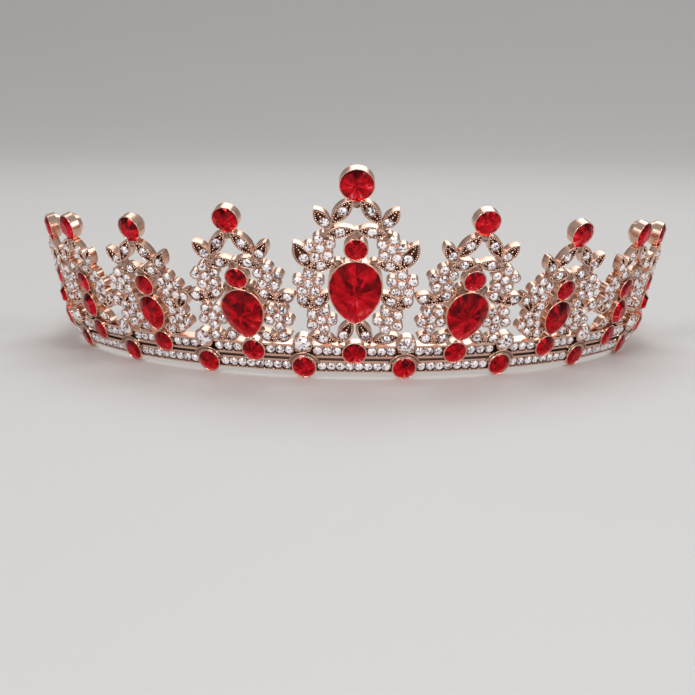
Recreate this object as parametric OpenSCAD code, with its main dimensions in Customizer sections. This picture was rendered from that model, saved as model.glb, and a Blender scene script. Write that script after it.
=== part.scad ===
// Open-backed tiara: nine graduated openwork motifs on two stone-set bands.
// Each motif is a flat casting. They stand side by side round an arc and lean
// outwards. Places on a casting are given as u (sideways), v (up the slope) and
// w (outwards from the face of the metalwork), all in millimetres.

/* [Arc] */
// Radius of the arc at the floor, at the face of the metalwork
arc_r = 67.2; // [62:0.2:74]
// Angle from the centre motif to the first side motif
first_step = 17.7; // [17.2:0.1:19]
// Angle between the side motifs
side_step = 18.5; // [18:0.1:19.5]
// Outward lean of the two bands
band_lean = 23; // [18:0.5:27]
// Angle from the front to each end of the arc
end_angle = 104; // [98:1:112]
// Sideways lean of the side motifs, away from the centre
fan = 2.2; // [0:0.1:3]

/* [Bands] */
// Height of each band
band_h = 3.1; // [2.9:0.05:3.4]
// Open slit between the bands
band_gap = 0.65; // [0.4:0.05:0.9]
// Width of the rails that edge each band
rail_w = 0.5; // [0.4:0.05:0.55]
// Thickness of the strip behind the stones
strip_t = 0.7; // [0.6:0.1:1.2]
// Depth of the channel the band stones sit in
channel_d = 1.3; // [1.1:0.05:1.6]
// Stones in the lower band between two red stones
lower_count = 8; // [6:1:8]
// Stones in the upper band between a red stone and a clear one
upper_count = 3; // [2:1:3]

/* [Stones] */
// Diameter of the small clear stones
gem_d = 1.9; // [1.7:0.05:1.95]
// Diameter of the red stones set in the bands
red_d = 4.6; // [4.2:0.1:4.8]
// Diameter of the large clear stones on the upper band
clear_d = 3.6; // [3.2:0.1:3.8]
// Diameter of the round red stone above each teardrop
round_d = 4.4; // [4:0.1:4.6]
// Diameter of the red stone on top of the centre motif
top_d = 6.5; // [6:0.1:6.8]
// Diameter of the red stones on top of the side motifs
side_top_d = 5.1; // [4.6:0.1:5.4]
// Length of the centre teardrop stone
tear_h = 14.4; // [13.6:0.1:14.8]
// Width of the teardrop stones as a share of their length
tear_ratio = 0.72; // [0.66:0.01:0.74]

/* [Settings] */
// Wall of the polished collets round the red stones
collet_wall = 0.35; // [0.3:0.05:0.4]
// Metal left round each small stone
cup_wall = 0.22; // [0.2:0.01:0.26]
// Width of the raised rim round each leaf
leaf_rim = 0.36; // [0.3:0.02:0.42]
// Depth of the deep collets at the tops
top_depth = 3.1; // [2.6:0.1:3.6]
// Bore of the eyelet at each end
eyelet_d = 2.2; // [1.8:0.1:2.6]

/* [Hidden] */

gold = "#e3b29a";
ruby = "#b0071f";
crystal = "#f1edf4";

// Clearance between soldered pieces, and round each stone in its seat
fit = 0.04;
// Outward lean of the wall at the centre motif and at each side motif
lean_at = [23.5, 25.5, 24, 21, 16.5];
// Height up the slope of the round red stone of each motif
round_v = [31.35, 24.3, 20.4, 17.95, 16.15];
// Length of each teardrop stone as a share of the centre one
tear_share = [1, 0.8, 0.555, 0.385, 0.26];
// Height of each crest as a share of the centre one
crest_share = [1, 0.945, 0.92, 0.905, 0.82];
// Share of the sideways lean that each motif takes
fan_share = [0, 1, 0.3, 0.75, 1];

// Back of the cast metalwork and of the bands
cast_back = -1.6;
collet_back = -1.75;
pear_back = -1.9;
band_back = -(channel_d + strip_t);
// Face of the collets, just proud of the metalwork
collet_face = 0.3;
// Face of the deep collets at the tops, set back so that their stones face out
top_face = -0.6;
// Floors of the leaf recesses and of the small stone seats
recess_w = -0.75;
seat_depth = 0.85;

cup_d = gem_d + 2*cup_wall;
red_out = red_d + 2*collet_wall;
clear_out = clear_d + 2*collet_wall;
round_out = round_d + 2*collet_wall;
// The lower collets rest on the floor at the front edge of their rims
lower_v = red_out/2 + collet_face*tan(band_lean);
// The lower band's bottom rail is a thin edge, so its stones ride low
edge_w = 0.25;
lower_row_v = lower_v + 0.05;
row_room = band_h - 2*rail_w;
lower_bottom = lower_row_v - row_room/2 - edge_w;
lower_top = lower_row_v + row_room/2 + rail_w;
upper_bottom = lower_top + band_gap;
upper_top = upper_bottom + band_h;
upper_v = (upper_bottom + upper_top)/2;
// The upper collets hang across the slit and lap the lower band's top rail
upper_red_v = max(upper_v - 0.5, lower_row_v + sqrt(pow(red_out/2 + gem_d/2 + 2*fit, 2) - pow(gem_d/2, 2)));
// The large clear stones ride half above the upper band
clear_v = upper_v + 1.8;
// First line above the upper band where the castings may sit
cast_v = upper_top + fit;

// Reach of the whole piece in front of and behind the arc's centre
front_reach = arc_r + (top_v(0) + top_d/2 + collet_wall)*sin(lean(0)) + top_face*cos(lean(0));
rear_reach = -cos(end_angle)*(arc_r + upper_top*sin(band_lean));
// Distance of the arc's centre behind the origin, which is midway between front and rear
arc_y = (front_reach - rear_reach)/2;

function idx(k) = min(4, floor(abs(k)));
function lean(k) = lean_at[idx(k)];
function fan_turn(k) = sign(k)*fan*fan_share[idx(k)];
function azimuth(k) = sign(k)*(abs(k) <= 1 ? abs(k)*first_step : first_step + (abs(k) - 1)*side_step);
function wall_r(k, v) = arc_r + v*sin(lean(k));

// Places its children on the face of casting k: x sideways, y up the slope, z out
module on_motif(k) {
  translate([0, arc_y, 0])
  rotate([0, 0, azimuth(k)])
  translate([0, -arc_r, 0])
  rotate([90 + lean(k), 0, 0])
  rotate([0, 0, -fan_turn(k)])
  children();
}

// Places its children on the bands, where the lean is the same all round
module on_band(az, v) {
  translate([0, arc_y, 0])
  rotate([0, 0, az])
  translate([0, -(arc_r + v*sin(band_lean)), v*cos(band_lean)])
  rotate([90 + band_lean, 0, 0])
  children();
}

// ---- outlines ----

// Pointed leaf outline: where two equal circles cross
module leaf_outline(len, wid, inset = 0) {
  r = (len*len + wid*wid)/(4*wid);
  intersection() {
    translate([0, r - wid/2]) circle(r = r - inset, $fn = 96);
    translate([0, wid/2 - r]) circle(r = r - inset, $fn = 96);
  }
}

// Pear outline, point down: a circle drawn in towards its lower end
pear_power = 0.42;
pear_n = 36;
pear_peak = 0.862;
function pear_pt(h, wid, a) = [wid/2*sin(a)*pow(abs(sin(a/2)), pear_power)/pear_peak, -h/2*cos(a)];
module pear_outline(h, wid) {
  polygon([for (i = [0 : pear_n - 1]) pear_pt(h, wid, i*360/pear_n)]);
}

// ---- stones ----

// Round brilliant standing on its seat: straight girdle, sloping crown, flat table
module round_stone(d, base, rise, crown = 0.55) {
  translate([0, 0, base])
  rotate_extrude($fn = 40)
  polygon([[0, 0], [d*0.4, 0], [d/2, d*0.12], [d/2, -base + rise - crown],
    [d*0.29, -base + rise], [0, -base + rise]]);
}

// ---- layout of one motif ----

function side_k(k) = k != 0;
function s_v(k) = round_v[idx(k)];
// Crest parts shrink a little on the side motifs
function cu(k) = side_k(k) ? 0.94 : 1;
function cv(k) = crest_share[idx(k)];
function top_v(k) = s_v(k) + 14.2*cv(k);
function top_stone_d(k) = side_k(k) ? side_top_d : top_d;
function tear_len(k) = tear_h*tear_share[idx(k)];
function tear_wid(k) = tear_len(k)*tear_ratio*(side_k(k) ? 1.03 : 1);
// The pear's collet hangs from the round stone's collet
function tear_v(k) = s_v(k) - round_out/2 - collet_wall - tear_len(k)/2 + 0.1;
function tear_low(k) = tear_v(k) - tear_len(k)/2;
function half_step(k, dir) = (abs(k) < 0.5 || (abs(k) == 1 && dir*k < 0)) ? first_step/2 : side_step/2;
// How far a height on motif k has moved sideways, as the motif leans
function swing(k, v) = v*tan(fan_turn(k));
// Sideways room on the side dir of motif k at height v, shared with its neighbour
function room(k, dir, v) = wall_r(k, v)*tan(half_step(k, dir)) + dir*(swing(k + dir, v) - swing(k, v))/2;
function link_v(k, dir) = k == 0 ? 20 : (dir*k > 0 ? s_v(k) - 4 : (abs(k) == 1 ? 20.2 : s_v(abs(k) - 1) - 4));

// Leaves of one half: [inner end, outer end, width, place of the stone along it]
function leaves(k, dir) = concat(
  [
    [[0.75*cu(k), s_v(k) + (side_k(k) ? 11.5 : 11.2)*cv(k)], [5.1*cu(k), s_v(k) + 5.7*cv(k)], 3.1, 0.48],
    [[5.3*cu(k), s_v(k) + 4.5*cv(k)], [8.6*cu(k), s_v(k) + 9.1*cv(k)], 2.9, 0.34],
    [[0.1, s_v(k) + 4.3*cv(k)], [6.4*cu(k), s_v(k) + 3.3*cv(k)], 2.7, 0.5]
  ],
  k == 0 ? [
    [[9.0, s_v(0) - 4.9], [12.7, s_v(0) + 1.4], 3.5, 0.42],
    [[3.9, s_v(0) - 3.4], [10.1, s_v(0) - 4.6], 2.7, 0.5],
    [[tear_wid(0)/2 - 0.2, tear_v(0) - 0.2], [9.7, tear_v(0) - 4.7], 2.9, 0.5],
    [[8.5, 17.6], [room(0, dir, 20) - 0.15, 20], 3.0, 0.66],
    [[0.5, tear_low(0) + 0.1], [3.4, cast_v + 0.35], 3.0, 0.62],
    [[3.7, cast_v + 0.9], [9.3, cast_v + 2.3], 2.6, 0.5]
  ] : concat(
    [
      [[round_out/2 + 0.75, s_v(k) - round_out/2 - 0.15], [8.4, s_v(k) - 5.7], 2.8, 0.4],
      [[7.2, s_v(k) - 5.5], [room(k, dir, link_v(k, dir)) - 0.15, link_v(k, dir)], 2.9, 0.62]
    ],
    abs(k) <= 3 ? [[[0.9 + 0.085*tear_len(k), tear_low(k) + 1.1], [6.2, cast_v + 0.55], 2.7, 0.46]] : [],
    abs(k) <= 1 ? [[[5.3, cast_v + 0.9], [9.6, cast_v + 2.3], 2.5, 0.55]] : []
  )
);

// Flowers of one half: [centre, angle of the first petal]
function flowers(k) = concat(
  k == 0 ? [[[7.3, s_v(0) - 0.1], 81], [[9.6, 23.0], 90], [[tear_wid(0)/2 + 1.8, tear_v(0) - 7.05], 180]]
         : [[[6.9, s_v(k) + 0.1], 84]],
  abs(k) == 1 ? [[[tear_wid(k)/2 + 3.05, 14.6], 270]] : [],
  abs(k) == 2 ? [[[6.9, 12.75], 270]] : []
);

// Small cast bosses that tie the crest, the flowers and the pear collet: [u, v, diameter]
function bosses(k) = concat(
  [
    [6.5*cu(k), s_v(k) + 2.75, 2.2],
    [5.4*cu(k), s_v(k) + 4.6*cv(k), 2.3]
  ],
  k == 0 ? [
    [3.7, s_v(0) - 3.5, 2.0],
    [tear_wid(0)/2 + 2.4, tear_v(0) - 4.45, 2.2],
    [tear_wid(0)/2 + 1.2, cast_v + 2.75, 1.9]
  ] : [
    [round_out/2*0.72 + 0.56, s_v(k) - round_out/2*0.69 - 0.54, 2.2],
    [5.6, s_v(k) - 3.0, 1.7]
  ],
  abs(k) == 1 ? [[tear_wid(k)/2 + 0.7, 13.9, 1.8]] : []
);

petals = 5;
// Petal cups just lap the middle cup
petal_ring = cup_d - 0.09;
function leaf_gem(l) = l[0] + l[3]*(l[1] - l[0]);
function petal(f, i) = f[0] + petal_ring*[cos(f[1] + i*360/petals), sin(f[1] + i*360/petals)];
// Every small stone of one half, as sideways and upward places
function gems(k, dir) = concat(
  [for (l = leaves(k, dir)) leaf_gem(l)],
  [for (f = flowers(k)) f[0]],
  [for (f = flowers(k)) for (i = [0 : petals - 1]) petal(f, i)]
);

module leaf_place(dir, l) {
  mid = (l[0] + l[1])/2;
  d = l[1] - l[0];
  translate([dir*mid[0], mid[1]]) rotate(atan2(d[1], dir*d[0])) children();
}

// Outline of everything that is cast flush: leaves, flower cups and bosses
module casting_outline(k) {
  translate([0, s_v(k) + arch_rise*cv(k)]) circle(d = arch_boss_d, $fn = 40);
  translate([0, top_v(k) - top_stone_d(k)/2 - collet_wall - 0.2]) circle(d = neck_boss_d, $fn = 32);
  for (dir = [-1, 1]) {
    for (l = leaves(k, dir)) leaf_place(dir, l) leaf_outline(norm(l[1] - l[0]), l[2]);
    for (f = flowers(k)) {
      translate([dir*f[0][0], f[0][1]]) circle(d = cup_d, $fn = 32);
      for (i = [0 : petals - 1]) translate([dir*petal(f, i)[0], petal(f, i)[1]]) circle(d = cup_d, $fn = 32);
    }
    for (b = bosses(k)) translate([dir*b[0], b[1]]) circle(d = b[2], $fn = 32);
  }
}

// Sunk fields of the leaves, each left standing round its stone
module leaf_fields(k) {
  difference() {
    for (dir = [-1, 1]) for (l = leaves(k, dir))
      leaf_place(dir, l) leaf_outline(norm(l[1] - l[0]), l[2], leaf_rim);
    for (dir = [-1, 1]) for (g = gems(k, dir)) translate([dir*g[0], g[1]]) circle(d = cup_d, $fn = 32);
    for (dir = [-1, 1]) for (b = bosses(k)) translate([dir*b[0], b[1]]) circle(d = b[2], $fn = 32);
  }
}

module collet_blank(d, back, face) {
  translate([0, 0, back]) cylinder(d = d, h = face - back, $fn = 64);
}

// Deep polished collet of a top stone, drawn in towards its back
module top_collet_blank(d) {
  straight = top_depth*0.6;
  translate([0, 0, top_face - straight]) cylinder(d = d, h = straight, $fn = 64);
  translate([0, 0, top_face - top_depth])
  cylinder(d1 = d*0.68, d2 = d, h = top_depth - straight, $fn = 64);
}

// Place and size of the boss where the two arch leaves meet
arch_rise = 3.35;
arch_boss_d = 2.5;
// Boss under the deep collet, where the two big leaves meet
neck_boss_d = 2.0;
// The pear collet stands a little prouder than the round one
pear_face = 0.55;
pear_wall = collet_wall + 0.05;

// One cast motif with every collet, leaf and cup
module motif(k) {
  tl = tear_len(k);
  tw = tear_wid(k);
  td = top_stone_d(k);
  color(gold)
  on_motif(k)
  difference() {
    union() {
      translate([0, 0, cast_back]) linear_extrude(-cast_back) casting_outline(k);
      translate([0, top_v(k), 0]) top_collet_blank(td + 2*collet_wall);
      translate([0, s_v(k), 0]) collet_blank(round_out, collet_back, collet_face);
      translate([0, tear_v(k), pear_back]) linear_extrude(pear_face - pear_back)
        pear_outline(tl + 2*pear_wall, tw + 2*pear_wall);
    }
    translate([0, 0, recess_w]) linear_extrude(2) leaf_fields(k);
    for (dir = [-1, 1]) for (g = gems(k, dir)) translate([dir*g[0], g[1], -seat_depth])
      cylinder(d = gem_d + 2*fit, h = 3, $fn = 40);
    translate([0, top_v(k), top_face - 1.5]) cylinder(d = td + 2*fit, h = 4, $fn = 64);
    translate([0, s_v(k), -1.0]) cylinder(d = round_d + 2*fit, h = 4, $fn = 64);
    translate([0, tear_v(k), -1.0]) linear_extrude(4) pear_outline(tl + 2*fit, tw + 2*fit);
  }
}

// ---- stones of one motif ----

module teardrop(k) {
  tl = tear_len(k);
  tw = tear_wid(k);
  color(ruby)
  on_motif(k) translate([0, tear_v(k), 0]) {
    translate([0, 0, -1.0]) linear_extrude(1.7) pear_outline(tl, tw);
    translate([0, 0, 0.7]) linear_extrude(0.9, scale = 0.58) pear_outline(tl, tw);
  }
}

module round_red(k) {
  color(ruby) on_motif(k) translate([0, s_v(k), 0]) round_stone(round_d, -1.0, 0.9);
}

module top_red(k) {
  color(ruby) on_motif(k) translate([0, top_v(k), 0]) round_stone(top_stone_d(k), -2.1, 0.2, 0.7);
}

module rhinestones(k) {
  color(crystal)
  on_motif(k)
  for (dir = [-1, 1]) for (g = gems(k, dir)) translate([dir*g[0], g[1], 0]) small_stone();
}

module small_stone() {
  translate([0, 0, -seat_depth])
  rotate_extrude($fn = 24)
  polygon([[0, 0], [gem_d/2, 0], [gem_d/2, seat_depth - 0.02], [gem_d*0.3, seat_depth + 0.3],
    [0, seat_depth + 0.3]]);
}

// ---- bands ----

lower_azimuths = [for (i = [-3.5 : 1 : 3.5]) azimuth_half(i)];
upper_azimuths = [for (i = [-4 : 1 : 4]) azimuth(i)];
// The lower collets stand midway between the motifs
function azimuth_half(i) = (azimuth(i - 0.5) + azimuth(i + 0.5))/2;
band_r = arc_r + upper_v*sin(band_lean);
// Room left beside each collet, as degrees of arc
lower_clear = (red_out/2 + 0.08)/arc_r*180/PI;
// The stones run on past the last motif to here
stone_end = 2*azimuth(4) - azimuth_half(3.5) - lower_clear;
band_end = stone_end + 1.2;

// How far each collet's flat seat is sunk into the back strip
seat_sink = 0.15;

// Cross-section of one band: back strip, channel and two rails, leaning outwards
module band_section(v0, v1, low_rail) {
  rotate(-band_lean)
  polygon([
    [band_back, v0], [0, v0], [0, v0 + low_rail], [-channel_d, v0 + low_rail],
    [-channel_d, v1 - rail_w], [0, v1 - rail_w], [0, v1], [band_back, v1]
  ]);
}

module band_ring(v0, v1, low_rail) {
  translate([0, arc_y, 0])
  rotate([0, 0, -90 - band_end])
  rotate_extrude(angle = 2*band_end, $fn = 180)
  translate([arc_r, 0])
  band_section(v0, v1, low_rail);
}

// Flat seat for a collet, sunk just into the back strip
module collet_room(az, v, d) {
  on_band(az, v) translate([0, 0, -channel_d - seat_sink]) cylinder(d = d + 2*fit, h = 4, $fn = 64);
}

module lower_band() {
  color(gold)
  difference() {
    band_ring(lower_bottom, lower_top, edge_w);
    for (a = lower_azimuths) collet_room(a, lower_v, red_out);
    for (a = upper_azimuths) collet_room(a, upper_red_v, red_out);
  }
}

module upper_band() {
  color(gold)
  difference() {
    band_ring(upper_bottom, upper_top, rail_w);
    for (a = lower_azimuths) collet_room(a, lower_v, red_out);
    for (a = upper_azimuths) collet_room(a, upper_red_v, red_out);
    for (a = lower_azimuths) collet_room(a, clear_v, clear_out);
  }
}

module band_stone(az, v) {
  on_band(az, v)
  translate([0, 0, 0.04 - channel_d])
  rotate_extrude($fn = 24)
  polygon([[0, 0], [gem_d/2, 0], [gem_d/2, channel_d - 0.15], [gem_d*0.3, channel_d + 0.2],
    [0, channel_d + 0.2]]);
}

// Stones spread evenly between two azimuths, clear of the collets at both ends
module stone_run(a0, a1, v, n) {
  for (i = [0 : n - 1]) band_stone(a0 + (a1 - a0)*(i + 0.5)/n, v);
}

upper_red_clear = (red_out/2 + 0.02)/band_r*180/PI;
upper_clear_clear = (clear_out/2 - 0.15)/band_r*180/PI;

module lower_band_rhinestones() {
  color(crystal) {
    for (i = [-3 : 3])
      stone_run(azimuth_half(i - 0.5) + lower_clear, azimuth_half(i + 0.5) - lower_clear,
        lower_row_v, lower_count);
    for (s = [-1, 1])
      stone_run(s*(azimuth_half(3.5) + lower_clear), s*stone_end, lower_row_v, lower_count);
  }
}

module upper_band_rhinestones() {
  color(crystal) {
    for (i = [-4 : 4]) for (s = [-1, 1])
      if (abs(i + s*0.5) < 4)
        stone_run(azimuth(i) + s*upper_red_clear, azimuth_half(i + s*0.5) - s*upper_clear_clear,
          upper_v, upper_count);
    for (s = [-1, 1])
      stone_run(s*(azimuth(4) + upper_red_clear), s*(stone_end + 0.4), upper_v, upper_count);
  }
}

// Polished collet seated on the band's back strip, drilled for its stone
module collet(d_out, d_stone) {
  difference() {
    translate([0, 0, fit - channel_d - seat_sink])
    cylinder(d = d_out, h = collet_face + channel_d + seat_sink - fit, $fn = 64);
    translate([0, 0, -0.9]) cylinder(d = d_stone + 2*fit, h = 3, $fn = 64);
  }
}

module lower_collets() {
  color(gold) for (a = lower_azimuths) on_band(a, lower_v) collet(red_out, red_d);
}

module upper_collets() {
  color(gold) for (a = upper_azimuths) on_band(a, upper_red_v) collet(red_out, red_d);
}

module lower_red_stones() {
  color(ruby) for (a = lower_azimuths) on_band(a, lower_v) round_stone(red_d, -0.9, 0.85);
}

module upper_red_stones() {
  color(ruby) for (a = upper_azimuths) on_band(a, upper_red_v) round_stone(red_d, -0.9, 0.85);
}

// Shoulder piece that laps both bands and hugs the top of a lower collet
shoulder_w = 1.0;
module shoulder() {
  outer = red_out + 2*shoulder_w;
  translate([0, 0, fit])
  linear_extrude(collet_face - fit)
  difference() {
    circle(d = outer, $fn = 64);
    circle(d = red_out + 2*fit, $fn = 64);
    translate([-outer, row_room/2 - outer]) square([2*outer, outer]);
  }
}

// Cup of each large clear stone, with its shoulder piece below
module clear_stone_cups() {
  color(gold) for (a = lower_azimuths) {
    on_band(a, clear_v) collet(clear_out, clear_d);
    on_band(a, lower_v) difference() {
      shoulder();
      translate([0, clear_v - lower_v, -1]) cylinder(d = clear_d + 2*fit, h = 3, $fn = 64);
    }
  }
}

module large_clear_stones() {
  color(crystal) for (a = lower_azimuths) on_band(a, clear_v) round_stone(clear_d, -0.9, 0.9);
}

// ---- ends ----

end_v = (lower_bottom + upper_top)/2;
end_h = upper_top - lower_bottom;
eyelet_az = end_angle - (end_h/2)/arc_r*180/PI;
plate_t = strip_t + 0.5;
// The round end stands this much proud of the strip on both sides
eyelet_rim = 0.15;

// Plain strip from the bands to a rounded end with a drilled eyelet
module end_plate(s) {
  color(gold)
  difference() {
    union() {
      translate([0, arc_y, 0])
      rotate([0, 0, s > 0 ? band_end + 0.1 - 90 : -90 - eyelet_az])
      rotate_extrude(angle = eyelet_az - band_end - 0.1, $fn = 180)
      translate([arc_r, 0])
      rotate(-band_lean)
      translate([band_back, lower_bottom])
      square([plate_t, end_h]);
      on_band(s*eyelet_az, end_v)
      translate([0, 0, band_back - eyelet_rim]) cylinder(d = end_h, h = plate_t + 2*eyelet_rim, $fn = 64);
    }
    on_band(s*eyelet_az, end_v) translate([0, 0, band_back - 2]) cylinder(d = eyelet_d, h = 6, $fn = 48);
  }
}

module left_end_plate() { end_plate(-1); }
module right_end_plate() { end_plate(1); }

lower_band();
upper_band();
left_end_plate();
right_end_plate();
lower_band_rhinestones();
upper_band_rhinestones();
lower_collets();
lower_red_stones();
upper_collets();
upper_red_stones();
clear_stone_cups();
large_clear_stones();
motif(0);  // centre_motif
teardrop(0);  // centre_teardrop
round_red(0);  // centre_round_stone
top_red(0);  // centre_top_stone
rhinestones(0);  // centre_rhinestones
motif(1);  // right_motif_1
motif(2);  // right_motif_2
motif(3);  // right_motif_3
motif(4);  // right_motif_4
teardrop(1);  // right_teardrop_1
teardrop(2);  // right_teardrop_2
teardrop(3);  // right_teardrop_3
teardrop(4);  // right_teardrop_4
round_red(1);  // right_round_stone_1
round_red(2);  // right_round_stone_2
round_red(3);  // right_round_stone_3
round_red(4);  // right_round_stone_4
top_red(1);  // right_top_stone_1
top_red(2);  // right_top_stone_2
top_red(3);  // right_top_stone_3
top_red(4);  // right_top_stone_4
rhinestones(1);  // right_rhinestones_1
rhinestones(2);  // right_rhinestones_2
rhinestones(3);  // right_rhinestones_3
rhinestones(4);  // right_rhinestones_4
motif(-1);  // left_motif_1
motif(-2);  // left_motif_2
motif(-3);  // left_motif_3
motif(-4);  // left_motif_4
teardrop(-1);  // left_teardrop_1
teardrop(-2);  // left_teardrop_2
teardrop(-3);  // left_teardrop_3
teardrop(-4);  // left_teardrop_4
round_red(-1);  // left_round_stone_1
round_red(-2);  // left_round_stone_2
round_red(-3);  // left_round_stone_3
round_red(-4);  // left_round_stone_4
top_red(-1);  // left_top_stone_1
top_red(-2);  // left_top_stone_2
top_red(-3);  // left_top_stone_3
top_red(-4);  // left_top_stone_4
rhinestones(-1);  // left_rhinestones_1
rhinestones(-2);  // left_rhinestones_2
rhinestones(-3);  // left_rhinestones_3
rhinestones(-4);  // left_rhinestones_4
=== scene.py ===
import math
import random

import bpy
from mathutils import Matrix, Vector


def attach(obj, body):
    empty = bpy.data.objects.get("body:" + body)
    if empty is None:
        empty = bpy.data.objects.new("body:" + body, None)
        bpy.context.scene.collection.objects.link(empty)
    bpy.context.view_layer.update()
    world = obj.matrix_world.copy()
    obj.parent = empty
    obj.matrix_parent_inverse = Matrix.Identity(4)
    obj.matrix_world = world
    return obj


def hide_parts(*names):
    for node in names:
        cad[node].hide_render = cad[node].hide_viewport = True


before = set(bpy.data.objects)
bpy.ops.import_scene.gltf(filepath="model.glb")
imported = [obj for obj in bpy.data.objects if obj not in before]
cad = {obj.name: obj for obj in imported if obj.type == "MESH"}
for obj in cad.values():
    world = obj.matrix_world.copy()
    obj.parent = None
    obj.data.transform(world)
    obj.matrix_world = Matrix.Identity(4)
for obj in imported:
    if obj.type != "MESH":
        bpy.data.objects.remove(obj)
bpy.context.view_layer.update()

bpy.ops.object.select_all(action="DESELECT")

# ---- Bands and end strips ----
# Two curved strips of rose gold plated brass, each a channel between two
# rails, and a plain strip with a drilled eyelet at each end. They are rolled,
# soldered together and polished, and the channels keep a dark antique tone.

# Lengths are in millimetres, as in the CAD. On a band or a casting, u goes
# sideways, v up its slope from the foot of the arc, and w out of its face.
MM = 0.001
ARC_R = 67.2
ARC_Y = 34.61144
BAND_LEAN = math.radians(23)
BAND_H = 3.1
BAND_GAP = 0.65
RAIL_W = 0.5
ROW_ROOM = BAND_H - 2 * RAIL_W
RED_OUT = 5.3
COLLET_FACE = 0.3
LOWER_V = RED_OUT / 2 + COLLET_FACE * math.tan(BAND_LEAN)
LOWER_ROW_V = LOWER_V + 0.05
LOWER_TOP = LOWER_ROW_V + ROW_ROOM / 2 + RAIL_W
UPPER_BOTTOM = LOWER_TOP + BAND_GAP


class Value:
    """A number or colour in a finish, which adds, multiplies and compares like one.

    A comparison gives 0 or 1, so * is "and", and | gives the greater of two."""

    def __init__(self, finish, socket):
        self.finish = finish
        self.socket = socket

    def maths(self, operation, first, second):
        return self.finish.node("ShaderNodeMath", {"operation": operation}, {0: first, 1: second})

    def __add__(self, other):
        return self.maths("ADD", self, other)

    def __radd__(self, other):
        return self.maths("ADD", other, self)

    def __sub__(self, other):
        return self.maths("SUBTRACT", self, other)

    def __rsub__(self, other):
        return self.maths("SUBTRACT", other, self)

    def __mul__(self, other):
        return self.maths("MULTIPLY", self, other)

    def __rmul__(self, other):
        return self.maths("MULTIPLY", other, self)

    def __gt__(self, other):
        return self.maths("GREATER_THAN", self, other)

    def __lt__(self, other):
        return self.maths("LESS_THAN", self, other)

    def __or__(self, other):
        return self.maths("MAXIMUM", self, other)


class Finish:
    """A surface finish, built up from shader nodes."""

    def __init__(self, name):
        self.material = bpy.data.materials.new(name)
        self.material.use_nodes = True
        self.tree = self.material.node_tree
        self.shader = self.tree.nodes["Principled BSDF"]

    def node(self, kind, settings=None, inputs=None, output=0):
        """Adds one node and gives back one of its outputs."""
        made = self.tree.nodes.new(kind)
        for key, value in (settings or {}).items():
            if key == "stops":
                ramp = made.color_ramp
                while len(ramp.elements) < len(value):
                    ramp.elements.new(0.5)
                for element, (place, colour) in zip(ramp.elements, value):
                    element.position = place
                    element.color = (*colour, 1)
            else:
                setattr(made, key, value)
        for key, value in (inputs or {}).items():
            self.feed(made.inputs[key], value)
        return Value(self, made.outputs[output])

    def feed(self, socket, value):
        if isinstance(value, Value):
            self.tree.links.new(value.socket, socket)
        else:
            socket.default_value = value

    def set(self, **sockets):
        """Feeds the surface's own inputs, named with underscores for spaces."""
        for name, value in sockets.items():
            self.feed(self.shader.inputs[name.replace("_", " ")], value)

    def place(self, output="Object"):
        return self.node("ShaderNodeTexCoord", output=output)

    def attribute(self, name, output):
        return self.node("ShaderNodeAttribute", {"attribute_name": name}, output=output)

    def noise(self, scale, detail=3.0, place=None):
        return self.node("ShaderNodeTexNoise", {}, {
            "Vector": place or self.place(), "Scale": scale, "Detail": detail})

    def ramp(self, value, stops):
        return self.node("ShaderNodeValToRGB", {"stops": stops}, {0: value})

    def between(self, value, low, high):
        """0 up to low, 1 from high on, and a smooth step between them."""
        return self.node("ShaderNodeMapRange", {"interpolation_type": "SMOOTHSTEP"},
                         {"Value": value, "From Min": low, "From Max": high})

    def vector(self, operation, *values, output=0):
        return self.node("ShaderNodeVectorMath", {"operation": operation},
                         dict(enumerate(values)), output)

    def dot(self, one, other):
        return self.vector("DOT_PRODUCT", one, other, output="Value")

    def mixed(self, share, first, second):
        mix = self.tree.nodes.new("ShaderNodeMix")
        mix.data_type = "RGBA"
        for socket, value in zip((mix.inputs[0], mix.inputs[6], mix.inputs[7]),
                                 (share, first, second)):
            self.feed(socket, (*value, 1) if isinstance(value, tuple) else value)
        return Value(self, mix.outputs[2])


ROSE = (0.81, 0.46, 0.33)
CHAMPAGNE = (0.97, 0.74, 0.62)
# SHADED is the colour of the painted shade on the walls of the castings
SHADED = (0.34, 0.12, 0.06)
ANTIQUE = (0.07, 0.022, 0.014)
# Scales of noise, as cells in a metre
CLOUDS = 420.0
POLISH_MARKS = 2600.0
GRIT = 3400.0
DENTS = 3800.0
TARNISH = 5200.0
# A surface counts as facing outwards from this share on, where 1 is straight out
OUTWARDS = 0.6


def rose_gold(name, patina=None, rough=0.17, shade=None):
    """Rose gold plate, antiqued dark by the patina mask, which on the bands also holds painted
    shade in their slot, and darkened with painted shade by the shade mask.
    """
    gold = Finish(name)
    tone = gold.noise(CLOUDS) * 0.4 + gold.noise(GRIT) * 0.3 + 0.15
    colour = gold.mixed(tone, ROSE, CHAMPAGNE)
    # Painted shade: the walls are darkened towards SHADED where the shade mask says
    if shade:
        colour = gold.mixed(shade(gold), colour, SHADED)
    polish = gold.noise(POLISH_MARKS) * 0.08 + (rough - 0.04)
    # Antique patina; on the bands the same mask also paints shade into the slot between them
    if patina:
        dark = patina(gold) * (0.78 + gold.noise(TARNISH) * 0.3)
        colour = gold.mixed(dark, colour, ANTIQUE)
        polish = polish + dark * 0.35
    bump = gold.node("ShaderNodeBump", {}, {
        "Height": gold.noise(DENTS), "Strength": 0.05, "Distance": 0.1 * MM})
    gold.set(Base_Color=colour, Metallic=1.0, Roughness=polish, Normal=bump)
    return gold.material


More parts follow.
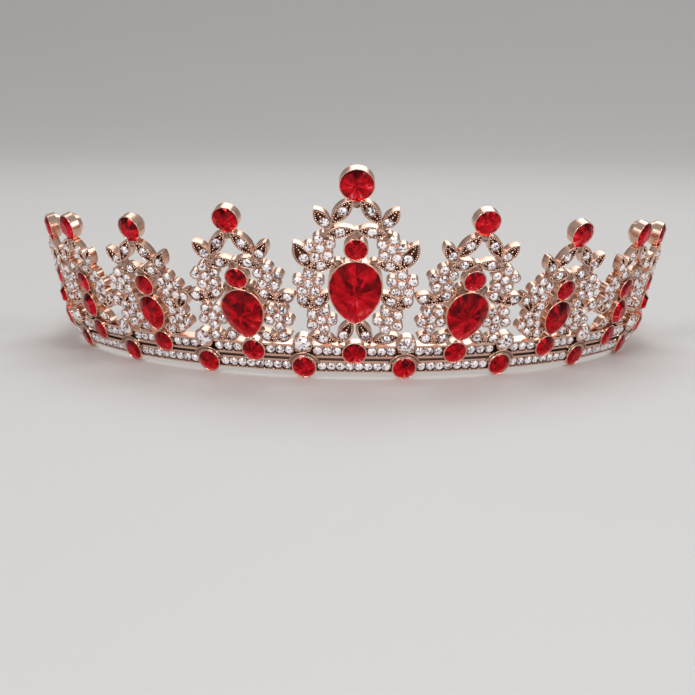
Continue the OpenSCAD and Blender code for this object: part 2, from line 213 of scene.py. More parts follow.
def band_place(gold):
    """Place of a point on the bands, as w and v in metres, and the share that it faces outwards."""
    centred = gold.vector("SUBTRACT", gold.place(), (0, ARC_Y * MM, 0))
    flat = gold.vector("MULTIPLY", centred, (1, 1, 0))
    out = gold.vector("LENGTH", flat, output="Value") - ARC_R * MM
    up = gold.dot(centred, (0, 0, 1))
    cos, sin = math.cos(BAND_LEAN), math.sin(BAND_LEAN)
    facing = gold.dot(gold.place("Normal"), gold.vector("NORMALIZE", flat))
    return out * cos - up * sin, up * cos + out * sin, facing


def channel_patina(gold):
    """Dark antique patina on the channel floors, and painted shade in the slot between the two
    bands.
    """
    w, v, facing = band_place(gold)
    # Painted shade: surfaces in the slot between the bands are darkened where only shade falls
    slot = (v > (LOWER_TOP - 0.08) * MM) * (v < (UPPER_BOTTOM + 0.08) * MM) * (w < -0.15 * MM)
    return slot | (w < -0.9 * MM) * (facing > OUTWARDS)


def wear(piece, material):
    """Gives a piece one material in all its slots."""
    if not piece.data.materials:
        piece.data.materials.append(material)
    for slot in piece.material_slots:
        slot.material = material


# The bands' gold: antique patina in the channels and painted shade in the slot
band_gold = rose_gold("band_rose_gold", channel_patina)
plain_gold = rose_gold("polished_rose_gold", rough=0.13)
for name in ("lower_band", "upper_band"):
    wear(cad[name], band_gold)
for name in ("left_end_plate", "right_end_plate"):
    wear(cad[name], plain_gold)

# ---- Small clear stones of the bands ----
# Foil-backed glass chatons, set edge to edge in the two channels. Between
# each pair a grain of metal is raised on both rails to hold them.

FIRST_STEP = 17.7
SIDE_STEP = 18.5
CHANNEL_D = 1.3
CLEAR_OUT = 4.3
GEM_R = 0.95
UPPER_TOP = UPPER_BOTTOM + BAND_H
UPPER_V = (UPPER_BOTTOM + UPPER_TOP) / 2
# Motifs from left to right, with 0 at the centre
MOTIFS = range(-4, 5)
# Scale of the noise that varies the painted reflections in the clear stones
FLICKER = 700.0


def azimuth(k):
    """Degrees round the arc from the front to motif k, or to a place between two."""
    side = math.copysign(1, k)
    return k * FIRST_STEP if abs(k) <= 1 else side * (FIRST_STEP + (abs(k) - 1) * SIDE_STEP)


def midway(k):
    """Degrees round the arc to the middle between two motifs, k being a whole number and a half."""
    return (azimuth(k - 0.5) + azimuth(k + 0.5)) / 2


def on_band(az, v, w=0.0, spin=0.0):
    """Place on the leaning bands: x goes sideways, y up the slope and z outwards."""
    foot = (0, -(ARC_R + v * math.sin(BAND_LEAN)), v * math.cos(BAND_LEAN))
    return (Matrix.Scale(MM, 4) @ Matrix.Translation((0, ARC_Y, 0))
            @ Matrix.Rotation(math.radians(az), 4, "Z") @ Matrix.Translation(foot)
            @ Matrix.Rotation(math.radians(90) + BAND_LEAN, 4, "X")
            @ Matrix.Translation((0, 0, w)) @ Matrix.Rotation(spin, 4, "Z"))


def cut_stone(name, rings, star, seed, outline=None):
    """Cuts a faceted stone from rings of corners, each (corners, radius, height, turn).

    star is the share of the table that its inner star takes up; the table is poked flat into
    triangles.
    Each face keeps its own painted reflection, a tone from dark to light that stands in for what
    the foil behind it throws back."""
    bpy.ops.object.select_all(action="DESELECT")
    for i, (corners, radius, height, turn) in enumerate(rings):
        bpy.ops.mesh.primitive_circle_add(vertices=corners, radius=radius,
                                          location=(0, 0, height), rotation=(0, 0, turn))
        if i == 0:
            stone = bpy.context.object
            bpy.ops.object.transform_apply(location=True, rotation=True)
            bpy.ops.object.mode_set(mode="EDIT")
    bpy.ops.object.mode_set(mode="OBJECT")
    if outline:
        for corner in stone.data.vertices:
            corner.co.x, corner.co.y = outline(corner.co.x, corner.co.y)
    bpy.ops.object.mode_set(mode="EDIT")
    bpy.ops.mesh.select_all(action="SELECT")
    bpy.ops.mesh.convex_hull(join_triangles=False)
    bpy.ops.mesh.select_all(action="SELECT")
    bpy.ops.mesh.dissolve_limited(angle_limit=math.radians(2))
    bpy.ops.object.mode_set(mode="OBJECT")
    top = max(corner.co.z for corner in stone.data.vertices)
    for face in stone.data.polygons:
        face.select = face.center.z > top - 1e-4
    bpy.ops.object.mode_set(mode="EDIT")
    bpy.ops.mesh.select_mode(type="FACE")
    if star:
        table_corners, table_radius = rings[-1][:2]
        bpy.ops.mesh.inset(thickness=star * table_radius)
        bpy.ops.transform.rotate(value=math.pi / table_corners, orient_axis="Z",
                                 center_override=(0, 0, top))
    bpy.ops.mesh.poke()
    bpy.ops.object.mode_set(mode="OBJECT")
    if star:
        bpy.ops.object.mode_set(mode="EDIT")
        bpy.ops.mesh.select_all(action="SELECT")
        bpy.ops.mesh.quads_convert_to_tris()
        bpy.ops.object.mode_set(mode="OBJECT")
    # Painted reflections: each face gets a random tone, which the glass materials turn from dark to
    # light
    reflection_chance = random.Random(seed)
    facet = stone.data.attributes.new("facet", "FLOAT", "FACE")
    for face in stone.data.polygons:
        facet.data[face.index].value = reflection_chance.random()
    seat = stone.data.attributes.new("seat", "FLOAT_VECTOR", "POINT")
    for corner in stone.data.vertices:
        seat.data[corner.index].vector = corner.co / rings[0][1]
    stone.name = name
    return stone


def chaton(name, base, girdle, table, table_r, seed):
    """Cuts a small stone: a round girdle and eight facets that rise to a table."""
    return cut_stone(name, [(16, GEM_R, base, 0), (16, GEM_R, girdle, 0),
                            (8, table_r, table, math.pi / 8)], 0, seed)


def joined(name, pieces):
    """Joins pieces that are already in place."""
    bpy.ops.object.select_all(action="DESELECT")
    for piece in pieces:
        piece.select_set(True)
    bpy.context.view_layer.objects.active = pieces[0]
    if len(pieces) > 1:
        bpy.ops.object.join()
    pieces[0].name = name
    pieces[0].data.name = name
    return pieces[0]


def set_copies(name, original, places):
    """Copies one piece to every place, each stone with its own painted reflection tones, and joins
    the copies.
    """
    copies = []
    reflection_chance = random.Random(name)
    for place in places:
        copy = original.copy()
        copy.data = original.data.copy()
        copy.data.transform(place)
        if "facet" in copy.data.attributes:
            for facet in copy.data.attributes["facet"].data:
                facet.value = reflection_chance.random()
        bpy.context.collection.objects.link(copy)
        copies.append(copy)
    return joined(name, copies)


def finished(piece, material, slot, *replaced):
    """Gives a joined piece its material and fixes it to the tiara."""
    wear(piece, material)
    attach(piece, "root")
    if replaced:
        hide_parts(*replaced)


def clear_glass():
    """Foil-backed clear glass with painted reflections: each facet shows its own painted share of
    light and dark, up to white glints.
    """
    glass = Finish("clear_chaton_glass")
    flicker = glass.noise(FLICKER, 0.0)
    light = glass.attribute("facet", "Fac") + (flicker - 0.5) * 0.5
    # Painted reflections and glints: dark facets up to near-white ones
    colour = glass.ramp(light, [(0.0, (0.04, 0.02, 0.025)), (0.2, (0.22, 0.15, 0.17)),
                                (0.38, (0.86, 0.76, 0.80)), (0.56, (1.0, 0.97, 0.98))])
    glass.set(Base_Color=colour, Metallic=0.12, Roughness=0.06, IOR=1.6, Coat_Weight=1.0,
              Coat_Roughness=0.02)
    return glass.material


chaton_glass = clear_glass()
band_chaton = chaton("band_chaton", 0.04 - CHANNEL_D, -0.14, 0.22, 0.56, 3)

# Degrees from the middle of a collet or cup to where the row beside it begins
UPPER_ROW_R = ARC_R + UPPER_V * math.sin(BAND_LEAN)
LOWER_CLEAR = math.degrees((RED_OUT / 2 + 0.08) / ARC_R)
UPPER_CLEAR = math.degrees((RED_OUT / 2 + 0.02) / UPPER_ROW_R)
CUP_CLEAR = math.degrees((CLEAR_OUT / 2 - 0.15) / UPPER_ROW_R)
# Azimuths where the two rows end
LOWER_END = 2 * azimuth(4) - midway(3.5) - LOWER_CLEAR
UPPER_END = LOWER_END + 0.4


def row(start, end, count):
    """Azimuths of stones spread evenly between two places, and of the grains between them."""
    step = (end - start) / count
    return ([start + step * (i + 0.5) for i in range(count)],
            [start + step * i for i in range(1, count)])


lower_rows = [row(midway(i - 0.5) + LOWER_CLEAR, midway(i + 0.5) - LOWER_CLEAR, 8)
              for i in range(-3, 4)]
lower_rows += [row(side * (midway(3.5) + LOWER_CLEAR), side * LOWER_END, 8) for side in (-1, 1)]
upper_rows = []
for k in MOTIFS:
    for side in (-1, 1):
        beside = k + side * 0.5
        far = midway(beside) - side * CUP_CLEAR if abs(beside) < 4 else side * UPPER_END
        upper_rows.append(row(azimuth(k) + side * UPPER_CLEAR, far, 3))

# The grains' radius, and their distance from the middle of the row and its face
ROW_GRAIN_R = 0.21
ROW_GRAIN_V = 0.9
ROW_GRAIN_W = 0.02

chance = random.Random(11)


def any_turn():
    """Turn of a round stone in its seat, different for each."""
    return chance.choice(range(16)) * math.pi / 8


bpy.ops.object.select_all(action="DESELECT")
bpy.ops.mesh.primitive_ico_sphere_add(subdivisions=1, radius=1.0)
grain = bpy.context.object
bpy.ops.object.shade_smooth()

for level, rows, v in (("lower", lower_rows, LOWER_ROW_V), ("upper", upper_rows, UPPER_V)):
    stones = [on_band(az, v, 0, any_turn()) for azs, _ in rows for az in azs]
    finished(set_copies(level + "_band_chatons", band_chaton, stones), chaton_glass,
             "clear_glass", level + "_band_rhinestones")
    grains = [on_band(az, v + side * ROW_GRAIN_V, ROW_GRAIN_W) @ Matrix.Scale(ROW_GRAIN_R, 4)
              for _, azs in rows for az in azs for side in (-1, 1)]
    finished(set_copies(level + "_band_grains", grain, grains), plain_gold, "rose_gold")

# ---- Red stones of the bands ----
# Round faceted red glass with a foil back, each in a turned, polished collet.
# One hangs between each two motifs and one stands under every motif.

# The lip of a collet is a wire of this radius, centred outside its stone and
# at this height on the band or casting
LIP_R = 0.11
LIP_OUT = 0.12
LIP_W = 0.28
RED_R = 2.42
# The upper collets sit low on their band, but clear the stones of the lower row
UPPER_RED_V = max(UPPER_V - 0.5, LOWER_ROW_V
                  + math.sqrt((RED_OUT / 2 + GEM_R + 0.08) ** 2 - GEM_R ** 2))


def red_glass():
    """Ruby glass over foil with painted light: facets of one red in painted reflection tones,
    painted streaks from the middle of the stone outwards, the lower half painted lighter, and
    painted pink glints.
    """
    ruby = Finish("ruby_red_glass")
    seat = ruby.attribute("seat", "Vector")
    way_out = ruby.vector("NORMALIZE", ruby.vector("MULTIPLY", seat, (1, 1, 0)))
    ray = ruby.vector("MULTIPLY_ADD", ruby.place(), (70, 70, 70), way_out)
    reflection_streak = ruby.noise(3.0, place=ray)
    cloud = ruby.noise(CLOUDS, 2.0)
    # Painted light: facet reflections, radial streaks and random cloud, with the lower half of each
    # stone painted lighter
    light = (ruby.attribute("facet", "Fac") * 0.4 + (reflection_streak - 0.5) * 1.3 + (cloud - 0.5) * 0.7
             - ruby.dot(seat, (0, 1, 0)) * 0.3 + 0.28)
    # The top stop of the ramp is a painted pink glint
    colour = ruby.ramp(light, [(0.0, (0.07, 0.0, 0.002)), (0.28, (0.26, 0.0, 0.004)),
                               (0.55, (0.66, 0.001, 0.010)), (0.85, (0.98, 0.012, 0.03)),
                               (1.0, (1.0, 0.25, 0.25))])
    ruby.set(Base_Color=colour, Metallic=0.9, Roughness=0.08, IOR=1.5, Coat_Weight=0.15,
             Coat_Roughness=0.02)
    return ruby.material


def round_cut(name, radius, base, girdle, table, seed):
    """Round brilliant: straight girdle, two rows of crown facets and a flat table."""
    crown_r, crown, table_r = radius * 0.84, girdle + (table - girdle) * 0.52, radius * 0.56
    return cut_stone(name, [(16, radius, base, 0), (16, radius, girdle, 0),
                            (8, crown_r, crown, math.pi / 8), (8, table_r, table, 0)], 0.5, seed)


def ring(radius, w, corners, u=0.0, v=0.0):
    """Corners of a round loop."""
    turns = [i * math.tau / corners for i in range(corners)]
    return [(u + radius * math.cos(turn), v + radius * math.sin(turn), w) for turn in turns]


def wires(name, loops, radius, place):
    """Bends closed loops of half-sunk wire, for the rims of bezels, cups and leaves."""
    bpy.ops.object.select_all(action="DESELECT")
    bpy.ops.mesh.primitive_circle_add(vertices=len(loops[0]))
    bpy.ops.object.mode_set(mode="EDIT")
    for loop in loops[1:]:
        bpy.ops.mesh.primitive_circle_add(vertices=len(loop))
    bpy.ops.object.mode_set(mode="OBJECT")
    points = [point for loop in loops for point in loop]
    for corner, point in zip(bpy.context.object.data.vertices, points):
        corner.co = point
    bpy.ops.object.convert(target="CURVE")
    bpy.context.object.data.bevel_depth = radius
    bpy.context.object.data.bevel_resolution = 1
    bpy.ops.object.convert(target="MESH")
    piece = bpy.context.object
    piece.name = name
    bpy.ops.object.shade_smooth()
    piece.data.transform(place)
    return piece


ruby_glass = red_glass()
band_red = round_cut("band_red", RED_R, -0.9, 0.3, 0.85, 5)
lower_azimuths = [midway(i - 3.5) for i in range(8)]
upper_azimuths = [azimuth(k) for k in MOTIFS]
for level, azimuths, v in (("lower", lower_azimuths, LOWER_V),
                           ("upper", upper_azimuths, UPPER_RED_V)):
    places = [on_band(az, v) for az in azimuths]
    finished(set_copies(level + "_red_brilliants", band_red, places), ruby_glass, "red_glass",
             level + "_red_stones")
    rims = [wires("rim", [ring(RED_R + LIP_OUT, LIP_W, 48)], LIP_R, place) for place in places]
    finished(joined(level + "_bezel_rims", rims), plain_gold, "rose_gold")
    wear(cad[level + "_collets"], plain_gold)

# ---- Large clear stones ----
# Round clear glass in deeper cups on the upper band, each held by four claws
# bent over its edge. A shoulder piece below ties the cup to both bands.

CLEAR_R = 1.8
CLEAR_V = UPPER_V + 1.8
CUP_LIP_R = CLEAR_R + 0.18


def shoulder_patina(gold):
    """Dark tone on the flat faces of the shoulder pieces, inside their raised edges."""
    w, _, facing = band_place(gold)
    return (w > 0.15 * MM) * (facing > OUTWARDS) * 0.8


clear_cut = round_cut("clear_cut", CLEAR_R, -0.9, 0.32, 0.9, 8)
places = [on_band(az, CLEAR_V, 0, any_turn()) for az in lower_azimuths]
finished(set_copies("large_clear_brilliants", clear_cut, places), chaton_glass, "clear_glass",
         "large_clear_stones")
wear(cad["clear_stone_cups"], rose_gold("shoulder_rose_gold", shoulder_patina))


def shoulder_edge():
    """Closed loop that edges a shoulder piece: out along its outer arc, back along the collet."""
    corners = []
    last = 23
    for radius, way in ((RED_OUT / 2 + 0.8, 1), (RED_OUT / 2 + 0.16, -1)):
        low = math.asin((ROW_ROOM / 2 + 0.12) / radius)
        arc = [low + (math.pi - 2 * low) * i / last for i in range(last + 1)][::way]
        corners += [(radius * math.cos(angle), radius * math.sin(angle), LIP_W) for angle in arc]
    return corners


rims = [wires("rim", [ring(CUP_LIP_R, LIP_W, 40)], 0.13, on_band(az, CLEAR_V))
        for az in lower_azimuths]
rims += [wires("edge", [shoulder_edge()], 0.1, on_band(az, LOWER_V)) for az in lower_azimuths]
finished(joined("clear_cup_rims", rims), plain_gold, "rose_gold")

# A claw stands outside the stone, then leans in over it and narrows to a tip
bpy.ops.object.select_all(action="DESELECT")
bpy.ops.mesh.primitive_cylinder_add(vertices=10, radius=0.26, depth=0.9,
                                    location=(CUP_LIP_R, 0, 0.1))
claw = bpy.context.object
bpy.ops.object.transform_apply(location=True)
for face in claw.data.polygons:
    face.select = face.center.z > 0.5
bpy.ops.object.mode_set(mode="EDIT")
for step, flatten, middle in (((-0.3, 0, 0.22), (0.95, 0.95, 0.4), (1.68, 0, 0.77)),
                              ((-0.2, 0, 0.02), (0.6, 0.6, 0.6), (1.5, 0, 0.78))):
    bpy.ops.mesh.extrude_region_move(TRANSFORM_OT_translate={"value": step})
    bpy.ops.transform.resize(value=flatten, center_override=middle)
bpy.ops.object.mode_set(mode="OBJECT")
bpy.ops.object.shade_smooth_by_angle(angle=math.radians(50))
claws = [on_band(az, CLEAR_V) @ Matrix.Rotation(math.radians(45 + 90 * i), 4, "Z")
         for az in lower_azimuths for i in range(4)]
finished(set_copies("clear_stone_claws", claw, claws), plain_gold, "rose_gold")
bpy.data.objects.remove(claw)

# ---- Cast motifs ----
# Nine rose gold castings, each a spray of pointed leaves and five-petal
# flowers round two bezels, under a deep collet. The leaves' sunk fields are
# antiqued dark, edged with fine beading and sown with small grains.

# Lists with one entry per size of casting, from the centre one outwards
LEANS = [23.5, 25.5, 24, 21, 16.5]
ROUND_V = [31.35, 24.3, 20.4, 17.95, 16.15]
TEAR_SHARE = [1, 0.8, 0.555, 0.385, 0.26]
CREST = [1, 0.945, 0.92, 0.905, 0.82]
FAN = 2.2
FAN_SHARE = [0, 1, 0.3, 0.75, 1]
ROUND_OUT = 5.1
TOP_V = [v + 14.2 * crest for v, crest in zip(ROUND_V, CREST)]
TEAR_LEN = [14.4 * share for share in TEAR_SHARE]
TEAR_WID = [length * 0.72 * (1.0 if n == 0 else 1.03) for n, length in enumerate(TEAR_LEN)]
TEAR_V = [v - ROUND_OUT / 2 - 0.35 - length / 2 + 0.1 for v, length in zip(ROUND_V, TEAR_LEN)]
CUP_D = 2.34
PETAL_RING = CUP_D - 0.09
PETALS = 5
CAST_V = UPPER_TOP + 0.04
CAST_BACK = -1.6
TOP_R = [3.4, 2.7, 2.7, 2.7, 2.7]
SMALL_RED_R = 2.32


def fan_turn(k):
    """Sideways lean of motif k, away from the centre."""
    side = (k > 0) - (k < 0)
    return math.radians(side * FAN * FAN_SHARE[min(abs(k), 4)])


def on_motif(k, u=0.0, v=0.0, w=0.0, spin=0.0):
    """Place on casting k: x goes sideways, y up the slope and z outwards."""
    return (Matrix.Scale(MM, 4) @ Matrix.Translation((0, ARC_Y, 0))
            @ Matrix.Rotation(math.radians(azimuth(k)), 4, "Z")
            @ Matrix.Translation((0, -ARC_R, 0))
            @ Matrix.Rotation(math.radians(90 + LEANS[abs(k)]), 4, "X")
            @ Matrix.Rotation(-fan_turn(k), 4, "Z") @ Matrix.Translation((u, v, w))
            @ Matrix.Rotation(spin, 4, "Z"))


def half_step(k, side):
    """Half the angle between casting k and its neighbour on one side."""
    near = k == 0 or (abs(k) == 1 and side * k < 0)
    return math.radians((FIRST_STEP if near else SIDE_STEP) / 2)


def room(k, side, v):
    """Sideways room of casting k at a height, shared with its neighbour."""
    lean = math.sin(math.radians(LEANS[abs(k)]))
    swing = v * (math.tan(fan_turn(k + side)) - math.tan(fan_turn(k)))
    return (ARC_R + v * lean) * math.tan(half_step(k, side)) + side * swing / 2


def link_v(k, side):
    """Height at which the outer leaf of casting k meets its neighbour's."""
    if side * k > 0:
        return ROUND_V[abs(k)] - 4
    return 20.2 if abs(k) == 1 else ROUND_V[abs(k) - 1] - 4


def leaves(k, side):
    """Leaves of one half: inner end, outer end, width and place of the stone along it."""
    n = abs(k)
    s, c, t = ROUND_V[n], CREST[n], 1.0 if k == 0 else 0.94
    made = [
        ((0.75 * t, s + (11.2 if k == 0 else 11.5) * c), (5.1 * t, s + 5.7 * c), 3.1, 0.48),
        ((5.3 * t, s + 4.5 * c), (8.6 * t, s + 9.1 * c), 2.9, 0.34),
        ((0.1, s + 4.3 * c), (6.4 * t, s + 3.3 * c), 2.7, 0.5)]
    low = TEAR_V[n] - TEAR_LEN[n] / 2
    if k == 0:
        made += [
            ((9.0, s - 4.9), (12.7, s + 1.4), 3.5, 0.42),
            ((3.9, s - 3.4), (10.1, s - 4.6), 2.7, 0.5),
            ((TEAR_WID[0] / 2 - 0.2, TEAR_V[0] - 0.2), (9.7, TEAR_V[0] - 4.7), 2.9, 0.5),
            ((8.5, 17.6), (room(0, side, 20) - 0.15, 20), 3.0, 0.66),
            ((0.5, low + 0.1), (3.4, CAST_V + 0.35), 3.0, 0.62),
            ((3.7, CAST_V + 0.9), (9.3, CAST_V + 2.3), 2.6, 0.5)]
    else:
        v = link_v(k, side)
        made += [
            ((ROUND_OUT / 2 + 0.75, s - ROUND_OUT / 2 - 0.15), (8.4, s - 5.7), 2.8, 0.4),
            ((7.2, s - 5.5), (room(k, side, v) - 0.15, v), 2.9, 0.62)]
        if n <= 3:
            made.append(((0.9 + 0.085 * TEAR_LEN[n], low + 1.1), (6.2, CAST_V + 0.55), 2.7, 0.46))
        if n <= 1:
            made.append(((5.3, CAST_V + 0.9), (9.6, CAST_V + 2.3), 2.5, 0.55))
    return made


def flowers(k):
    """Flowers of one half: centre and the angle of the first petal."""
    n = abs(k)
    if k == 0:
        return [((7.3, ROUND_V[0] - 0.1), 81), ((9.6, 23.0), 90),
                ((TEAR_WID[0] / 2 + 1.8, TEAR_V[0] - 7.05), 180)]
    made = [((6.9, ROUND_V[n] + 0.1), 84)]
    if n == 1:
        made.append(((TEAR_WID[1] / 2 + 3.05, 14.6), 270))
    if n == 2:
        made.append(((6.9, 12.75), 270))
    return made


def round_flower(centre, radius, turn):
    """Places round a flower, one for each petal."""
    angles = [math.radians(turn + i * 360 / PETALS) for i in range(PETALS)]
    return [(centre[0] + radius * math.cos(angle), centre[1] + radius * math.sin(angle))
            for angle in angles]


def leaf_gems(k, side):
    """Small stones in the leaves of one half, as sideways and upward places."""
    return [(side * (a[0] + f * (b[0] - a[0])), a[1] + f * (b[1] - a[1]))
            for a, b, _, f in leaves(k, side)]


def flower_gems(k, side):
    """Small stones in the flowers of one half: one in the middle and one in each petal."""
    return [(side * u, v) for centre, turn in flowers(k)
            for u, v in (centre, *round_flower(centre, PETAL_RING, turn))]


def motif_name(k, part):
    if k == 0:
        return "centre_" + part
    return ("right_" if k > 0 else "left_") + part + "_" + str(abs(k))


def way_out(k):
    """Direction in which casting k faces."""
    return tuple((on_motif(k).to_3x3() @ Vector((0, 0, 1))).normalized())


def above_cast(gold, k):
    """Height of a point above the face of casting k, and the share that it faces outwards."""
    face = Vector(way_out(k)).dot(on_motif(k).translation)
    return (gold.dot(gold.place(), way_out(k)) - face,
            gold.dot(gold.place("Normal"), way_out(k)))


# Scale of the noise in the worn tone
RUBBED = 1500.0


def field_patina(k):
    """Dark tone on the sunk fields of casting k, and a worn one on its face."""

    def patina(gold):
        height, facing = above_cast(gold, k)
        worn = gold.between(gold.noise(RUBBED), 0.42, 0.6) * 0.4 + 0.5
        on_front = (height < 0.1 * MM) * (height > -1.3 * MM) * (facing > 0.8)
        return on_front * ((height < -0.5 * MM) | worn)

    return patina


def side_shade(k):
    """Painted shade on the walls of casting k, darker deeper towards its back, but not on its top
    collet.
    """
    collet = on_motif(k, 0, TOP_V[abs(k)]).translation
    near = (TOP_R[abs(k)] + 0.7) * MM

    def shade(gold):
        height, facing = above_cast(gold, k)
        apart = gold.vector("SUBTRACT", gold.place(), tuple(collet))
        along = gold.dot(apart, way_out(k))
        away = gold.dot(apart, apart) - along * along > near * near
        # Painted shade: the walls darken with their depth below the face
        deep = gold.between(height * -1.0, 0.5 * MM, 1.6 * MM)
        return deep * (facing < OUTWARDS) * (facing > -OUTWARDS) * away * 0.55

    return shade


# Rim wire of a leaf: how far inside its edge, its radius, and the steps of each side
RIM_IN = 0.09
RIM_R = 0.1
RIM_STEPS = 12
# Beads inside the rim
BEAD_IN = 0.43
BEAD_R = 0.195
BEAD_PITCH = 0.47
BEAD_CLEAR = CUP_D / 2 - 0.05
TRIM_W = -0.02
# Grains sown along the field, smaller towards the tips
SOWN_R = 0.31
SOWN_PITCH = 0.68
SOWN_TAPER = 0.04
SOWN_W = -0.26
SOWN_START = CUP_D / 2 + 0.25
TIP_ROOM = 0.85
# Grains that hold the petals' stones
PETAL_GRAIN_R = 0.3
PETAL_GRAIN_RING = 2.2
PETAL_GRAIN_W = -0.1
# Burr rings behind the stones, lips of the cups, and lips of the three bezels
BURR_RING = 0.62
BURR_R = 0.09
CUP_WIRE_R = 0.065
BEZEL_R = 0.12
PEAR_LIP_OUT = 0.26
PEAR_LIP_W = 0.53
TOP_LIP_OUT = 0.1
TOP_LIP_W = -0.62


def leaf_side(a, b, width, inset):
    """Arc inside the edge of a leaf: its radius, its half angle, and the point at an angle."""
    edge_r = (math.dist(a, b) ** 2 + width ** 2) / (4 * width)
    offset = edge_r - width / 2
    radius = edge_r - inset

    def at(angle, edge):
        return radius * math.sin(angle), edge * (radius * math.cos(angle) - offset)

    return radius, math.acos(offset / radius), at


def ball(u, v, w, radius):
    """Place and size of a grain."""
    return Matrix.Translation((u, v, w)) @ Matrix.Scale(radius, 4)


def leaf_trim(k, side):
    """Raised rim of each leaf, the beading inside it, and the grains sown in its field."""
    rims, beads = [], []
    for a, b, width, f in leaves(k, side):
        across = math.dist(a, b)
        turn = math.atan2(b[1] - a[1], side * (b[0] - a[0]))
        middle = (Matrix.Translation((side * (a[0] + b[0]) / 2, (a[1] + b[1]) / 2, 0))
                  @ Matrix.Rotation(turn, 4, "Z"))
        stone_x = (f - 0.5) * across
        _, half, at = leaf_side(a, b, width, RIM_IN)
        rims.append([middle @ Vector((*at(edge * half * (2 * i / RIM_STEPS - 1), edge), TRIM_W))
                     for edge in (1, -1) for i in range(RIM_STEPS)])
        radius, half, at = leaf_side(a, b, width, BEAD_IN)
        count = max(4, int(2 * half * radius / BEAD_PITCH))
        for edge in (-1, 1):
            for i in range(1, count):
                x, y = at(half * (2 * i / count - 1), edge)
                if math.hypot(x - stone_x, y) > BEAD_CLEAR:
                    beads.append(middle @ ball(x, y, TRIM_W, BEAD_R))
        for end in (-1, 1):
            x = stone_x + end * SOWN_START
            size = SOWN_R
            while abs(x) < across / 2 - TIP_ROOM:
                beads.append(middle @ ball(x, 0, SOWN_W, size))
                x += end * SOWN_PITCH
                size -= SOWN_TAPER
    return rims, beads


def pear_share(angle):
    """Width of a pear at an angle from its point, as a share of its greatest half width."""
    return math.sin(angle) * abs(math.sin(angle / 2)) ** 0.42 / 0.862


def pear_loop(n, outside, w, corners):
    """Corners of a loop round teardrop n, at a distance outside its edge."""
    half_wid, half_len = TEAR_WID[n] / 2 + outside, TEAR_LEN[n] / 2 + outside
    angles = [math.tau * i / corners for i in range(corners)]
    return [(half_wid * pear_share(angle), TEAR_V[n] - half_len * math.cos(angle), w)
            for angle in angles]


for k in MOTIFS:
    n = abs(k)
    here = on_motif(k)
    # The castings' gold: antique patina in the fields and painted shade on the walls
    wear(cad[motif_name(k, "motif")],
         rose_gold(motif_name(k, "cast_gold"), field_patina(k), 0.2, side_shade(k)))
    rims, burrs, cups, beads = [], [], [], []
    for side in (-1, 1):
        half_rims, half_beads = leaf_trim(k, side)
        rims += half_rims
        beads += half_beads
        beads += [ball(side * u, v, PETAL_GRAIN_W, PETAL_GRAIN_R) for centre, turn in flowers(k)
                  for u, v in round_flower(centre, PETAL_GRAIN_RING, turn + 180 / PETALS)]
        burrs += [ring(BURR_RING, CAST_BACK, 10, u, v)
                  for u, v in leaf_gems(k, side) + flower_gems(k, side)]
        cups += [ring(GEM_R + 0.1, 0.0, 16, u, v) for u, v in flower_gems(k, side)]
    bezels = [ring(SMALL_RED_R + LIP_OUT, LIP_W, 48, 0, ROUND_V[n]),
              pear_loop(n, PEAR_LIP_OUT, PEAR_LIP_W, 64),
              ring(TOP_R[n] + TOP_LIP_OUT, TOP_LIP_W, 56, 0, TOP_V[n])]
    trim = [wires("rims", rims, RIM_R, here), wires("burrs", burrs, BURR_R, here),
            wires("cups", cups, CUP_WIRE_R, here), wires("bezels", bezels, BEZEL_R, here),
            set_copies("beads", grain, [here @ bead for bead in beads])]
    finished(joined(motif_name(k, "trim"), trim), plain_gold, "rose_gold")
bpy.data.objects.remove(grain)

# ---- Small clear stones of the castings ----
# The same foil-backed chatons, one in each leaf and six in each flower, glued
# into drilled seats.

leaf_chaton = chaton("leaf_chaton", -0.85, -0.02, 0.32, 0.55, 4)
for k in MOTIFS:
    places = [on_motif(k, u, v, 0, any_turn()) for side in (-1, 1)
              for u, v in leaf_gems(k, side) + flower_gems(k, side)]
    finished(set_copies(motif_name(k, "chatons"), leaf_chaton, places), chaton_glass,
             "clear_glass", motif_name(k, "rhinestones"))

# ---- Round red stones of the castings ----
# A round brilliant of red glass above each teardrop, in a plain bezel, and a
# larger one in the deep collet at the top.

small_red = round_cut("small_red", SMALL_RED_R, -1.0, 0.32, 0.9, 6)
top_reds = [round_cut("top_red", radius, -2.0, -0.5, 0.2, 7) for radius in TOP_R[:2]]
for k in MOTIFS:
    n = abs(k)
    for kind, stone, v in (("round", small_red, ROUND_V[n]),
                           ("top", top_reds[min(n, 1)], TOP_V[n])):
        finished(set_copies(motif_name(k, kind + "_brilliant"), stone, [on_motif(k, 0, v)]),
                 ruby_glass, "red_glass", motif_name(k, kind + "_stone"))
for spare in (band_chaton, leaf_chaton, band_red, clear_cut, small_red, *top_reds):
    bpy.data.objects.remove(spare)

# ---- Teardrop stones ----
# A pear-cut red glass stone in the bezel of each casting, point down, with a
# flat table and two rows of facets round it.

# The stone laps the lip of its bezel by this much
PEAR_LAP = 0.12


def pear_stone(n):
    """Pear cut for castings of size n: a round cut of its length, drawn in to its outline."""
    half_wid, half_len = TEAR_WID[n] / 2 + PEAR_LAP, TEAR_LEN[n] / 2 + PEAR_LAP
    base, girdle, crown, table = -1.0, 0.62, 1.08, 1.6

    def drawn_in(x, y):
        return math.hypot(x, y) / half_len * half_wid * pear_share(math.atan2(x, -y)), y

    return cut_stone("pear", [
        (20, half_len, base, 0), (20, half_len, girdle, 0),
        (10, half_len * 0.84, crown, math.pi / 10), (10, half_len * 0.6, table, 0)],
        0.42, 9, drawn_in)


for k in MOTIFS:
    stone = pear_stone(abs(k))
    finished(set_copies(motif_name(k, "pear_cut"), stone, [on_motif(k, 0, TEAR_V[abs(k)])]),
             ruby_glass, "red_glass", motif_name(k, "teardrop"))
    bpy.data.objects.remove(stone)

# ---- Studio ----
# Plain pale floor that curves up all round, soft lamps and a camera at the front.

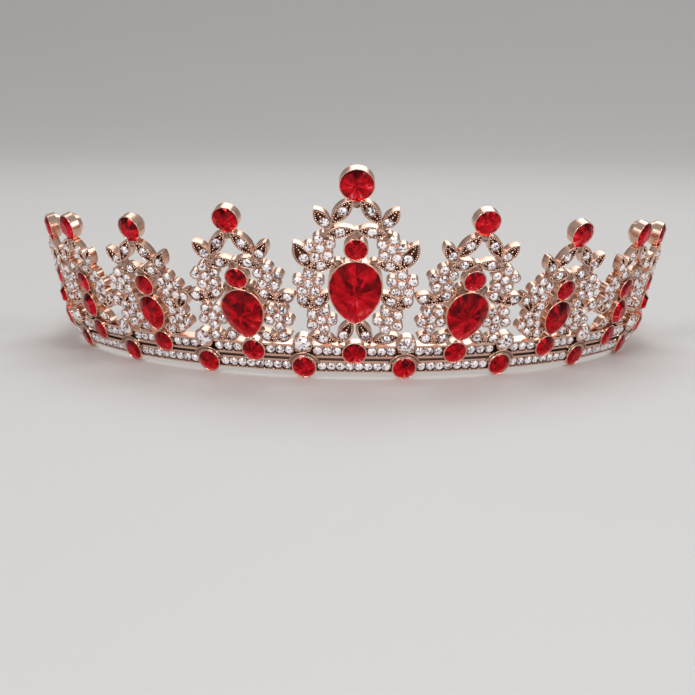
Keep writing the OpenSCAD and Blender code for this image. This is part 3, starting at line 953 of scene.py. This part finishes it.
FLOOR_R = 0.8
RISE_R = 1.6
RISE_STEPS = 24
bpy.ops.object.select_all(action="DESELECT")
bpy.ops.mesh.primitive_circle_add(vertices=96, radius=FLOOR_R, fill_type="NGON",
                                  location=(0, 0, 0))
floor = bpy.context.object
floor.name = "floor"
bpy.ops.object.mode_set(mode="EDIT")
bpy.ops.mesh.select_mode(type="EDGE")
for i in range(RISE_STEPS):
    before, after = [math.radians(90 * (i + more) / RISE_STEPS) for more in (0, 1)]
    rise = RISE_R * (math.cos(before) - math.cos(after))
    wider = (FLOOR_R + RISE_R * math.sin(after)) / (FLOOR_R + RISE_R * math.sin(before))
    bpy.ops.mesh.extrude_edges_move(TRANSFORM_OT_translate={"value": (0, 0, rise)})
    bpy.ops.transform.resize(value=(wider, wider, 1), center_override=(0, 0, 0))
bpy.ops.object.mode_set(mode="OBJECT")
bpy.ops.object.shade_smooth_by_angle(angle=math.radians(60))
paper = Finish("studio_paper")
shade = paper.mixed(paper.noise(3.0), (0.72, 0.71, 0.70), (0.77, 0.76, 0.75))
paper.set(Base_Color=shade, Roughness=0.6)
wear(floor, paper.material)

world = bpy.data.worlds.new("studio_light")
bpy.context.scene.world = world
world.use_nodes = True
sky = world.node_tree.nodes["Background"].inputs
sky["Color"].default_value = (1.0, 0.98, 0.97, 1)
sky["Strength"].default_value = 0.35


def soft_lamp(name, power, size, place, spread=180):
    """Square soft box that faces the tiara; a grid on it narrows its spread, in degrees."""
    lamp = bpy.data.lights.new(name, "AREA")
    lamp.energy = power
    lamp.size = size
    lamp.spread = math.radians(spread)
    fixture = bpy.data.objects.new(name, lamp)
    fixture.location = place
    fixture.visible_camera = False
    facing = Vector((0, 0, 0.02)) - Vector(place)
    fixture.rotation_euler = facing.to_track_quat("-Z", "Y").to_euler()
    bpy.context.collection.objects.link(fixture)


soft_lamp("key_lamp", 1.95, 0.5, (-0.56, -0.95, 0.52), spread=120)
soft_lamp("fill_lamp", 1.65, 0.7, (0.82, -0.82, 0.46), spread=120)
soft_lamp("top_lamp", 1.4, 0.6, (0.03, 0.38, 0.62))
soft_lamp("left_spark_lamp", 0.8, 0.09, (-0.32, -0.9, 0.58))
soft_lamp("right_spark_lamp", 0.8, 0.09, (0.4, -0.81, 0.65))
soft_lamp("front_spark_lamp", 0.4, 0.09, (0.11, -0.9, 0.23))
soft_lamp("back_lamp", 2.6, 1.0, (0.25, 1.0, 1.1))

# Focal length and frame in pixels give the lens
FOCAL_PX = 1795
FRAME_PX = 695
SENSOR = 36
camera = bpy.data.cameras.new("camera")
camera.lens = FOCAL_PX / FRAME_PX * SENSOR
camera.sensor_width = SENSOR
camera.clip_start = 0.01
viewpoint = bpy.data.objects.new("camera", camera)
viewpoint.location = (-0.00153, -0.440 + ARC_Y * MM, 0.0678)
viewpoint.rotation_euler = (math.radians(90 - 9.32), math.radians(-0.74), math.radians(0.11))
bpy.context.collection.objects.link(viewpoint)
bpy.context.scene.camera = viewpoint
bpy.context.scene.view_settings.view_transform = "Standard"
